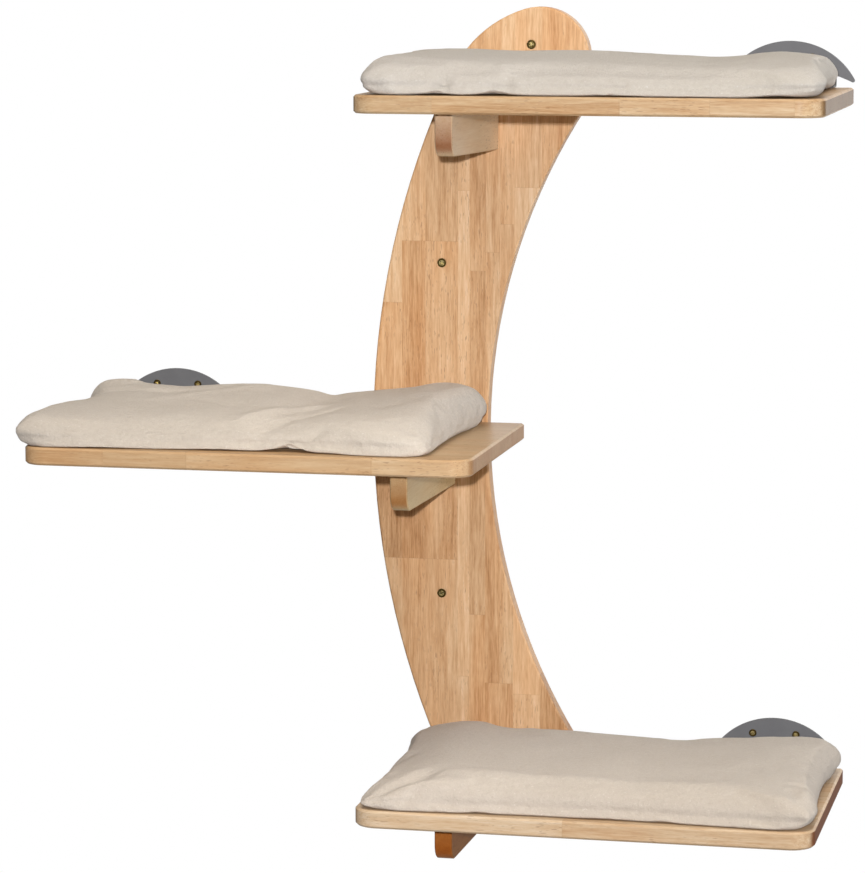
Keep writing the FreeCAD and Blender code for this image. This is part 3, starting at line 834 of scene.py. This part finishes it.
class ClimbingWallMakeScrews(bpy.types.Operator):
    """Makes the threaded, cross recessed screws in place of the plain ones"""

    bl_idname = "climbing_wall.make_screws"
    bl_label = "Screws"

    def execute(self, context):
        settings = context.scene.climbing_wall_metal
        # The brass's dark colour is partly painted dark reflection
        brass = metal_material("brass_screw", settings.brass_with_painted_reflection, settings.painted_glint_brass, 0.3)
        zinc = metal_material("zinc_screw", settings.zinc_colour, settings.zinc_colour, 0.32)
        board_kind, *level_kinds = screw_kinds
        nodes = [(board_kind, board_kind)]
        nodes += [(level + "_" + ending, ending) for level in levels for ending in level_kinds]
        for node, ending in nodes:
            yellow = ending.endswith("_wall_screws")
            screws = screws_for(node, screw_kinds[ending], settings, brass if yellow else zinc)
            if not screws.data.polygons:
                raise RuntimeError(node + " came out empty")
        return {"FINISHED"}


def curve_through(values, share):
    """The value at a share from 0 to 1 along a smooth curve through evenly spaced values."""
    place = min(max(share, 0.0), 1.0) * (len(values) - 1)
    index = min(int(place), len(values) - 2)
    part = place - index
    before = values[max(index - 1, 0)]
    start, end = values[index], values[index + 1]
    after = values[min(index + 2, len(values) - 1)]
    bend = 2 * before - 5 * start + 4 * end - after
    twist = 3 * (start - end) + after - before
    return 0.5 * (2 * start + part * (end - before + part * (bend + part * twist)))


class Cushion:
    """What one cushion does that its plain solid doesn't.

    Lengths are in millimetres. Places are shares of the solid's box: first from left to right, then from
    front to back. The heights are rows from front to back, each from left to right. An edge's insets run
    from left to right or from front to back. A fold is a line of places with its height, below zero for a
    crease, and its width. A lift is a place along the front with its height and width. The reach is how far
    the cover may pass the solid's box to the left, right, front, back and top. A corner at 0 is as round as
    the solid's, at 1 it is square.
    """

    def __init__(self, reach, heights, front, left, right, folds, lifts, corner, seed):
        self.reach = reach
        self.heights = heights
        self.front = front
        self.left = left
        self.right = right
        self.folds = folds
        self.lifts = lifts
        self.corner = corner
        self.seed = seed


cushions = {
    "top": Cushion(
        reach=(5, 12, 0, 0, 0),
        heights=(
            (29, 24, 21, 21, 21, 20, 20, 22, 24),
            (35, 31, 30, 29, 28, 27, 26, 30, 30),
            (36, 34, 33, 33, 32, 30, 28, 33, 31),
            (35, 35, 34, 34, 33, 31, 29, 34, 31),
            (32, 31, 30, 30, 29, 28, 27, 32, 30),
        ),
        front=(2, 1, 1, 1, 0, 0, 0, 0, 1),
        left=(-5, -5, -4, -2, 0),
        right=(-9, -10, -7, -2, 2),
        folds=(
            (((0.15, -0.03), (0.18, 0.02), (0.20, 0.05)), -5.6, 6),
            (((0.28, -0.03), (0.31, 0.03), (0.34, 0.06)), -6.4, 7),
            (((0.52, -0.03), (0.56, 0.02), (0.60, 0.03)), -2.6, 8),
            (((0.33, 0.02), (0.31, 0.10), (0.30, 0.16)), 2.0, 9),
            (((0.02, 0.25), (0.22, 0.15), (0.45, 0.17)), 1.4, 12),
            (((0.50, 0.30), (0.70, 0.22), (0.92, 0.26)), -1.2, 14),
            (((0.05, 0.7), (0.3, 0.55), (0.55, 0.7)), 1.6, 20),
        ),
        lifts=((0.17, 2.2, 0.04), (0.30, 3.0, 0.04), (0.55, 1.4, 0.05), (0.92, 2.4, 0.05)),
        corner=0.3,
        seed=11,
    ),
    "middle": Cushion(
        reach=(0, 0, 0, 0, 3),
        heights=(
            (31, 24, 18, 17, 18, 20, 21, 18, 23, 25, 21, 14),
            (31, 29, 27, 26, 27, 29, 29, 25, 30, 32, 31, 21),
            (29, 30, 31, 31, 32, 35, 34, 29, 33, 36, 38, 28),
            (26, 31, 34, 34, 36, 38, 36, 32, 35, 38, 43, 36),
            (34, 36, 34, 34, 38, 40, 35, 33, 34, 38, 45, 41),
        ),
        front=(0, 0, 2, 5, 7, 12, 7, 4, 12),
        left=(0, 0, 4, 7, 7),
        right=(16, 13, 10, 6, 3),
        folds=(
            (((0.24, 0.04), (0.40, 0.03), (0.55, 0.02)), -2.4, 5),
            (((0.28, 0.09), (0.44, 0.08), (0.58, 0.05)), -1.8, 5),
            (((0.50, 0.10), (0.58, 0.30), (0.68, 0.48)), 3.4, 9),
            (((0.54, 0.02), (0.63, 0.22), (0.74, 0.40)), -2.6, 7),
            (((0.60, 0.0), (0.65, 0.06), (0.73, 0.09)), -4.2, 5),
            (((0.30, 0.55), (0.42, 0.42), (0.50, 0.30)), -1.8, 10),
            (((0.0, 0.76), (0.10, 0.74), (0.20, 0.70), (0.34, 0.68)), -3.6, 10),
            (((0.0, 0.92), (0.08, 0.90), (0.16, 0.90)), 3.5, 14),
            (((0.78, 0.30), (0.86, 0.46), (0.90, 0.62)), -1.6, 12),
            (((0.62, 0.95), (0.64, 0.72), (0.69, 0.52)), -2.4, 12),
            (((0.20, 0.45), (0.35, 0.62), (0.52, 0.80)), 1.6, 12),
        ),
        lifts=((0.20, 1.0, 0.06), (0.48, 1.6, 0.08), (0.64, 6.5, 0.045), (0.74, 0.8, 0.03)),
        corner=0.4,
        seed=23,
    ),
    "bottom": Cushion(
        reach=(10, 9, 2, 0, 0),
        heights=(
            (12, 27, 29, 29, 29, 28, 29, 29, 26),
            (20, 31, 33, 32, 32, 31, 32, 33, 30),
            (25, 35, 36, 35, 34, 33, 35, 37, 34),
            (28, 38, 37, 36, 35, 34, 36, 38, 36),
            (30, 38, 37, 36, 35, 34, 36, 37, 37),
        ),
        front=(-1, -2, -1, 0, -1, 0, -1, -1, -1),
        left=(-7, -9, -10, -8, -3),
        right=(-6, -10, -10, -9, -8),
        folds=(
            (((0.04, 0.02), (0.25, 0.005), (0.55, 0.01), (0.95, 0.005)), -1.8, 4),
            (((0.02, 0.16), (0.30, 0.15), (0.62, 0.13), (0.97, 0.15)), 1.6, 9),
            (((0.20, 0.10), (0.30, 0.075), (0.40, 0.09)), -1.6, 6),
            (((1.02, 0.24), (0.98, 0.22), (0.94, 0.22)), -2.2, 5),
            (((0.01, 0.22), (0.08, 0.12), (0.16, 0.08)), -1.8, 7),
            (((0.985, 0.02), (0.965, 0.10), (0.95, 0.18)), -3.0, 7),
            (((0.18, 0.98), (0.24, 0.80), (0.33, 0.70)), -2.0, 14),
            (((0.60, 0.96), (0.68, 0.82), (0.80, 0.80)), -1.6, 12),
        ),
        lifts=((0.26, 1.4, 0.03), (0.55, 0.9, 0.05), (0.68, 1.2, 0.03)),
        corner=0.55,
        seed=37,
    ),
}
# The lowest 0.8 of the solid's height becomes the lowest 0.94 of the cushion's, which leaves a sharper edge
flat_share, flat_height = 0.8, 0.94
# How far in from an edge its insets and lifts reach, and from a corner the squarer form, in metres
edge_reach, corner_reach = 0.06, 0.045
# The solid's underside draws in over the lowest part of its height. As shares of that height: where this
# starts, how far in the side is there, how much further the solid draws in, and how much further the cushion
under_share, side_inset, under_inset, under_tuck = 0.2, 0.04, 0.41, 0.14
# Room for the wall plate's foot: under the cushion, and round the foot's edges, in metres
foot_rise, foot_room = 0.0034, 0.004
# The seam round the side, in metres, which shows where the side faces up or down by less than this share
seam_height, seam_width, seam_depth = 0.0095, 0.0026, 0.0011
side_facing = 0.8
# Heights over the underside, in metres: up to which the cloth is held in part while it fills, up to which it
# has no creases at all, and up to which they grow
held_height, flat_under, full_creases = 0.006, 0.002, 0.008
# The share of a fold's height that is left at its ends, and how fast it grows from there along the fold
fold_end_share, fold_gain = 0.15, 4
# The cover's uneven surface: height in millimetres, waves along X and Y, and a step of the cushion's seed
unevenness = ((0.9, 21, 27, 0), (0.3, 70, 90, 5))
millimetre = 0.001
cloth_values = {
    "quality": 6, "mass": 0.25, "tension_stiffness": 18, "compression_stiffness": 18, "shear_stiffness": 6,
    "bending_stiffness": 6, "air_damping": 2, "use_pressure": True,
}


class CushionMaker:
    """Shapes, fills and finishes the cushion of one level."""

    def __init__(self, level, settings):
        self.shape = cushions[level]
        self.settings = settings
        self.node = level + "_cushion"
        self.low, self.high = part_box(self.node)
        self.size = self.high - self.low
        left, right, front, back, top = (reach * millimetre for reach in self.shape.reach)
        self.furthest_low = self.low - Vector((left, front, 0))
        self.furthest_high = self.high + Vector((right, back, top))
        self.foot_low, self.foot_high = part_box(level + "_wall_plate")
        self.centre = (self.low + self.high) / 2
        self.half = self.size / 2

    def shares(self, point):
        """Where a point lies in the solid's box, from left to right, from front to back and upwards."""
        return [(point[axis] - self.low[axis]) / self.size[axis] for axis in range(3)]

    def height_at(self, across, back):
        """The cushion's height at a place, in metres."""
        return curve_through([curve_through(row, across) for row in self.shape.heights], back) * millimetre

    def edge_pull(self, distance):
        """How much of an edge's insets and lifts is felt at a distance from it."""
        return max(0.0, 1 - distance / edge_reach) ** 2

    def filled_corner(self, point):
        """The point moved out towards the corner of the box, where the plain solid is rounded."""
        aside = abs(point.x - self.centre.x) - (self.half.x - corner_reach)
        along = abs(point.y - self.centre.y) - (self.half.y - corner_reach)
        if aside <= 0 or along <= 0:
            return point
        reach = math.hypot(aside, along)
        grow = 1 + self.shape.corner * (reach / max(aside, along) - 1) * min(1, reach / corner_reach)
        moved = point.copy()
        moved.x += math.copysign(aside * (grow - 1), point.x - self.centre.x)
        moved.y += math.copysign(along * (grow - 1), point.y - self.centre.y)
        return moved

    def less_tucked(self, point, share):
        """The point moved out where the plain solid's underside draws in too far."""
        if share >= under_share:
            return point
        tuck = 1 - share / under_share
        now = self.half.y - self.size.z * (side_inset + under_inset * tuck)
        wanted = self.half.y - self.size.z * (side_inset + under_tuck * tuck)
        moved = point.copy()
        moved.y = self.centre.y + (point.y - self.centre.y) * wanted / now
        return moved

    def slack_shape(self, point):
        """Where a point of the plain solid lies on the cushion before it is filled."""
        point = self.less_tucked(self.filled_corner(point), self.shares(point)[2])
        across, back, share = self.shares(point)
        if share > flat_share:
            rise = flat_height + (share - flat_share) / (1 - flat_share) * (1 - flat_height)
        else:
            rise = share * flat_height / flat_share
        front_pull = self.edge_pull(point.y - self.low.y)
        lift = sum(height * millimetre * math.exp(-((across - place) / width) ** 2)
                   for place, height, width in self.shape.lifts) * front_pull * (1 - share)
        x = point.x + curve_through(self.shape.left, back) * millimetre * self.edge_pull(point.x - self.low.x)
        x -= curve_through(self.shape.right, back) * millimetre * self.edge_pull(self.high.x - point.x)
        y = point.y + curve_through(self.shape.front, across) * millimetre * front_pull
        return Vector((x, y, self.low.z + rise * self.height_at(across, back) + lift))

    def inside(self, point):
        """The nearest place within the cover's reach that is clear of the wall plate's foot."""
        limits = zip(point, self.furthest_low, self.furthest_high)
        clear = Vector([min(max(place, low), high) for place, low, high in limits])
        beside = self.foot_low.x - foot_room < clear.x < self.foot_high.x + foot_room
        if beside and clear.y > self.foot_low.y - foot_room:
            clear.z = max(clear.z, self.foot_low.z + foot_rise)
        return clear

    def make(self):
        """The whole cushion: shaped, filled, smoothed and creased."""
        cushion = new_object(self.node + "_cover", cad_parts[self.node].data.copy())
        remesh = cushion.modifiers.new("even_mesh", "REMESH")
        remesh.mode = "VOXEL"
        remesh.voxel_size = self.settings.mesh_size
        remesh.use_smooth_shade = True
        self.keep_modifiers(cushion)
        for vertex in cushion.data.vertices:
            vertex.co = self.slack_shape(vertex.co)
        self.fill(cushion)
        subdivide = cushion.modifiers.new("fine_mesh", "SUBSURF")
        subdivide.levels = subdivide.render_levels = 1
        self.keep_modifiers(cushion)
        self.crease(cushion)
        return cushion

    def keep_modifiers(self, cushion):
        """Applies the cushion's modifiers to its mesh."""
        bpy.context.view_layer.update()
        graph = bpy.context.evaluated_depsgraph_get()
        mesh = bpy.data.meshes.new_from_object(cushion.evaluated_get(graph))
        cushion.modifiers.clear()
        old = cushion.data
        cushion.data = mesh
        bpy.data.meshes.remove(old)

    def fill(self, cushion):
        """Lets the cover swell and wrinkle as cloth, with its underside held on the shelf."""
        scene = bpy.context.scene
        start = [vertex.co.copy() for vertex in cushion.data.vertices]
        seat = cushion.vertex_groups.new(name="seat")
        for vertex in cushion.data.vertices:
            hold = 1 - min(1.0, (vertex.co.z - self.low.z) / held_height)
            seat.add([vertex.index], hold, "REPLACE")
        cloth = cushion.modifiers.new("filling", "CLOTH")
        for name, value in cloth_values.items():
            setattr(cloth.settings, name, value)
        cloth.settings.uniform_pressure_force = self.settings.pressure
        cloth.settings.shrink_min = -self.settings.slack
        cloth.settings.effector_weights.gravity = 0
        cloth.settings.vertex_group_mass = "seat"
        cloth.point_cache.frame_start = 1
        cloth.point_cache.frame_end = self.settings.sim_frames
        for number in range(1, self.settings.sim_frames + 1):
            scene.frame_set(number)
        self.keep_modifiers(cushion)
        scene.frame_set(1)
        most = self.settings.most_swell
        for vertex, before in zip(cushion.data.vertices, start):
            move = vertex.co - before
            if move.length > most:
                move *= most / move.length
            vertex.co = self.inside(before + move)

    def crease(self, cushion):
        """Adds the folds and puckers at their places in the photo."""
        folds = []
        for line, height, width in self.shape.folds:
            points = [Vector((self.low.x + across * self.size.x, self.low.y + back * self.size.y, 0))
                      for across, back in line]
            folds.append((points, height * millimetre, width * millimetre))
        mesh = cushion.data
        # As they are before the vertices move
        normals = [vertex.normal.copy() for vertex in mesh.vertices]
        for vertex, normal in zip(mesh.vertices, normals):
            above = vertex.co.z - self.low.z
            if above < flat_under:
                vertex.co = self.inside(vertex.co)
                continue
            here = Vector((vertex.co.x, vertex.co.y, 0))
            move = 0.0
            for points, height, width in folds:
                distance, share = distance_to_line(here, points)
                ends = min(1.0, fold_gain * min(share, 1 - share) + fold_end_share)
                move += height * ends * math.exp(-(distance / width) ** 2)
            if abs(normal.z) < side_facing:
                move -= seam_depth * math.exp(-((above - seam_height) / seam_width) ** 2)
            move += millimetre * sum(
                height * noise.noise(Vector((here.x * along_x, here.y * along_y, self.shape.seed + step)))
                for height, along_x, along_y, step in unevenness)
            vertex.co = self.inside(vertex.co + normal * move * min(1.0, above / full_creases))
        mesh.update()


def distance_to_line(place, points):
    """How far a place is from a line of points, and the share of the line at the nearest point."""
    best, best_share = 1e9, 0.0
    count = len(points) - 1
    for index in range(count):
        start, end = points[index], points[index + 1]
        span = end - start
        share = min(1.0, max(0.0, (place - start).dot(span) / span.length_squared))
        distance = (place - start - span * share).length
        if distance < best:
            best, best_share = distance, (index + share) / count
    return best, best_share


# Painted light on each cushion, that its fleece is multiplied by: shades for its left end and right end,
# blended across it, and painted shade on its sides and slopes, growing as they turn away from facing up
painted_fleece_light = {
    "top": ((235, 236, 239), (235, 236, 237), (246, 246, 245)),
    "middle": ((231, 228, 225), (254, 251, 247), (245, 245, 245)),
    "bottom": ((252, 248, 244), (234, 230, 225), (245, 244, 244)),
}


class ClimbingWallMakeCushions(bpy.types.Operator):
    """Makes the three loose, softly filled fleece cushions"""

    bl_idname = "climbing_wall.make_cushions"
    bl_label = "Cushions"

    def execute(self, context):
        settings = context.scene.climbing_wall_fleece
        for level in levels:
            cushion = CushionMaker(level, settings).make()
            give_material(cushion, self.fleece(level, settings))
            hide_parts(level + "_cushion")
            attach(cushion, level + "_pad")
        return {"FINISHED"}

    def fleece(self, level, settings):
        """Cream fleece: tufts of pile, patches that lie the other way, specks of pale lint, painted light
        across it and painted shade on its sides.
        """
        material, graph, shader = new_material(level + "_cream_fleece")
        coordinates = graph.add("ShaderNodeTexCoord").outputs
        place = coordinates["Object"]
        pile = graph.noise(place, 700.0, detail=3.0, roughness=0.7)
        clumps = graph.noise(place, 190.0, detail=3.0, roughness=0.6)
        zones = graph.noise(place, 14.0)
        tone = graph.math("MULTIPLY_ADD", clumps, 0.3, graph.math("MULTIPLY", zones, 0.2))
        tone = graph.math("MULTIPLY_ADD", pile, 0.5, tone)
        colour = graph.tones(tone, ((0.3, settings.shade_colour), (0.7, settings.fleece_colour)))
        lint = graph.ramped(graph.noise(place, 560.0, detail=0.0), 0.76, 0.8)
        colour = graph.blend(graph.math("MULTIPLY", lint, 0.55), colour, (*srgb(236, 230, 220), 1))
        # Painted light: the fleece is lightened or darkened from its left end to its right end
        left, right, painted_edge_shade = ((*srgb(*shade), 1) for shade in painted_fleece_light[level])
        low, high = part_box(level + "_cushion")
        painted_light_across = graph.blend(graph.ramped(graph.split(place)[0], low.x, high.x, smooth=False), left, right)
        colour = graph.blend(1.0, colour, painted_light_across, "MULTIPLY")
        # Painted shade on the sides and slopes, growing as the surface turns away from facing up
        edge = graph.ramped(graph.split(coordinates["Normal"])[2], 0.97, 0.6)
        colour = graph.blend(edge, colour, painted_edge_shade, "MULTIPLY")
        graph.feed(shader.inputs["Base Color"], colour)
        set_shader(shader, {
            "Roughness": 0.92, "Specular IOR Level": 0.25, "Sheen Weight": 0.25, "Sheen Roughness": 0.45})
        height = graph.math("MULTIPLY_ADD", clumps, 1.6, pile)
        bumped(graph, shader, height, distance=0.0018, strength=0.65)
        return material


# The point that the lamps are aimed at, in metres, and the colour of the main lamp beside the camera
aim = Vector((0.02, -0.15, 0.0))
main_lamp_colour = (0.96, 1.0, 1.11)
# The other lamps: place from that point, width and height, the setting that gives the level, and colour
studio_lamps = {
    "ceiling_lamp": ((0.0, -2.0, 4.8), (4.8, 5.2), "ceiling_level", (1.0, 0.95, 0.88)),
    "side_lamp": ((2.9, -0.35, 0.4), (1.8, 2.2), "side_level", (0.95, 1.0, 1.1)),
    "back_lamp": ((0.7, 3.2, 0.7), (3.0, 2.4), "back_level", (1.0, 1.0, 1.0)),
}
floor_half_width = 60.0
# How far from the middle the floor starts to turn into the white backdrop, and where it is all white
backdrop_from, backdrop_full = 0.7, 1.5
# The floor as rays see it that light the object, so that little light comes up from it
dim_floor = (0.22, 0.21, 0.2)
# Warm light from all around
sky_colour = (1.0, 0.75, 0.5)


class ClimbingWallMakeStage(bpy.types.Operator):
    """Lays the floor and sets up the lamps, the surroundings and the camera"""

    bl_idname = "climbing_wall.make_stage"
    bl_label = "Stage"

    def execute(self, context):
        settings = context.scene.climbing_wall_stage
        scene = context.scene
        scene.view_settings.view_transform = "Standard"
        camera = self.add_camera(scene, settings)
        self.add_floor(settings)
        self.add_surroundings(scene, settings)
        turn = camera.matrix_world.to_3x3()
        lamp_place = camera.location + turn @ Vector((-settings.lamp_shift, settings.lamp_rise, 0))
        self.add_lamp("main_lamp", lamp_place, settings.lamp_level, main_lamp_colour, settings.lamp_size)
        for name, (place, size, level, colour) in studio_lamps.items():
            lamp = self.add_lamp(name, aim + Vector(place), getattr(settings, level), colour, *size)
            # The back lamp stands where views from behind would see it
            lamp.visible_camera = name != "back_lamp"
        return {"FINISHED"}

    def add_camera(self, scene, settings):
        camera = bpy.data.objects.new("camera", bpy.data.cameras.new("camera"))
        camera.data.lens = settings.camera_lens
        camera.data.sensor_width = 36
        camera.data.clip_end = 200
        camera.location = settings.camera_place
        camera.rotation_euler = Euler((math.pi / 2 - settings.camera_tilt, 0, settings.camera_heading))
        scene.collection.objects.link(camera)
        scene.camera = camera
        bpy.context.view_layer.update()
        return camera

    def add_lamp(self, name, place, level, colour, width, height=None):
        """A new area lamp that adds about this share of plain light where it is aimed. It is round without
        a height."""
        data = bpy.data.lights.new(name, "AREA")
        data.shape = "RECTANGLE" if height else "DISK"
        data.size = width
        if height:
            data.size_y = height
        distance = (aim - place).length
        data.energy = math.pi ** 2 * distance ** 2 * level
        data.color = colour
        lamp = bpy.data.objects.new(name, data)
        lamp.location = place
        lamp.rotation_euler = (aim - place).to_track_quat("-Z", "Y").to_euler()
        bpy.context.scene.collection.objects.link(lamp)
        return lamp

    def seen_directly(self, graph):
        """1 for camera, mirror and glass rays, 0 for the rays that light the object."""
        path = graph.add("ShaderNodeLightPath").outputs
        seen = graph.math("MAXIMUM", path["Is Camera Ray"], path["Is Glossy Ray"])
        return graph.math("MAXIMUM", seen, path["Is Transmission Ray"])

    def backdrop_strength(self, graph, settings):
        """Plain white for the camera, and dimmer in what glossy surfaces reflect."""
        reflected = graph.add("ShaderNodeLightPath").outputs["Is Glossy Ray"]
        return graph.math("MULTIPLY_ADD", reflected, settings.reflected_level - 1, 1.0)

    def add_floor(self, settings):
        half = floor_half_width
        height = settings.floor_height
        mesh = bpy.data.meshes.new("floor")
        mesh.from_pydata([(-half, -half, height), (half, -half, height), (half, half, height),
                          (-half, half, height)], [], [(0, 1, 2, 3)])
        floor = new_object("floor", mesh)
        material, graph, shader = new_material("pale_floor")
        set_shader(shader, {
            "Base Color": (*settings.floor_colour, 1), "Roughness": 0.9, "Specular IOR Level": 0.0})
        place = graph.split(graph.add("ShaderNodeTexCoord").outputs["Object"])
        far = graph.ramped(graph.diagonal(place[0], place[1]), backdrop_from, backdrop_full)
        seen = self.seen_directly(graph)
        white = graph.add("ShaderNodeEmission", {"Strength": self.backdrop_strength(graph, settings)})
        visible = graph.mix_shaders(graph.math("MULTIPLY", far, seen), shader.outputs[0], white.outputs[0])
        dim = graph.add("ShaderNodeBsdfDiffuse", {"Color": (*dim_floor, 1)})
        surface = graph.mix_shaders(graph.math("SUBTRACT", 1.0, seen), visible, dim.outputs[0])
        graph.feed(material.node_tree.nodes["Material Output"].inputs["Surface"], surface)
        give_material(floor, material)

    def add_surroundings(self, scene, settings):
        world = bpy.data.worlds.new("surroundings")
        scene.world = world
        world.use_nodes = True
        world.node_tree.nodes.clear()
        graph = Graph(world.node_tree)
        lighting = graph.add("ShaderNodeBackground", {
            "Color": (*sky_colour, 1), "Strength": settings.sky_level})
        backdrop = graph.add("ShaderNodeBackground", {
            "Color": (1, 1, 1, 1), "Strength": self.backdrop_strength(graph, settings)})
        light = graph.mix_shaders(self.seen_directly(graph), lighting.outputs[0], backdrop.outputs[0])
        graph.add("ShaderNodeOutputWorld", {"Surface": light})


operators = (
    ClimbingWallMakeStage,
    ClimbingWallDressWood,
    ClimbingWallDressPlates,
    ClimbingWallMakeScrews,
    ClimbingWallMakeCushions,
)


class ClimbingWallPanel(bpy.types.Panel):
    """Lists the pieces of the climbing wall"""

    bl_idname = "VIEW3D_PT_climbing_wall"
    bl_label = "Cat climbing wall"
    bl_space_type = "VIEW_3D"
    bl_region_type = "UI"
    bl_category = "Climbing wall"

    def draw(self, context):
        for operator in operators:
            self.layout.operator(operator.bl_idname)


setting_groups = {
    "climbing_wall_stage": ClimbingWallStage,
    "climbing_wall_wood": ClimbingWallWood,
    "climbing_wall_metal": ClimbingWallMetal,
    "climbing_wall_fleece": ClimbingWallFleece,
}


def register():
    for name, group in setting_groups.items():
        bpy.utils.register_class(group)
        setattr(bpy.types.Scene, name, PointerProperty(type=group))
    for known in (*operators, ClimbingWallPanel):
        bpy.utils.register_class(known)


def unregister():
    for known in reversed((*operators, ClimbingWallPanel)):
        bpy.utils.unregister_class(known)
    for name, group in setting_groups.items():
        delattr(bpy.types.Scene, name)
        bpy.utils.unregister_class(group)


def main():
    register()
    bpy.ops.climbing_wall.make_stage()
    bpy.ops.climbing_wall.dress_wood()
    bpy.ops.climbing_wall.dress_plates()
    bpy.ops.climbing_wall.make_screws()
    bpy.ops.climbing_wall.make_cushions()


if __name__ == "__main__":
    main()
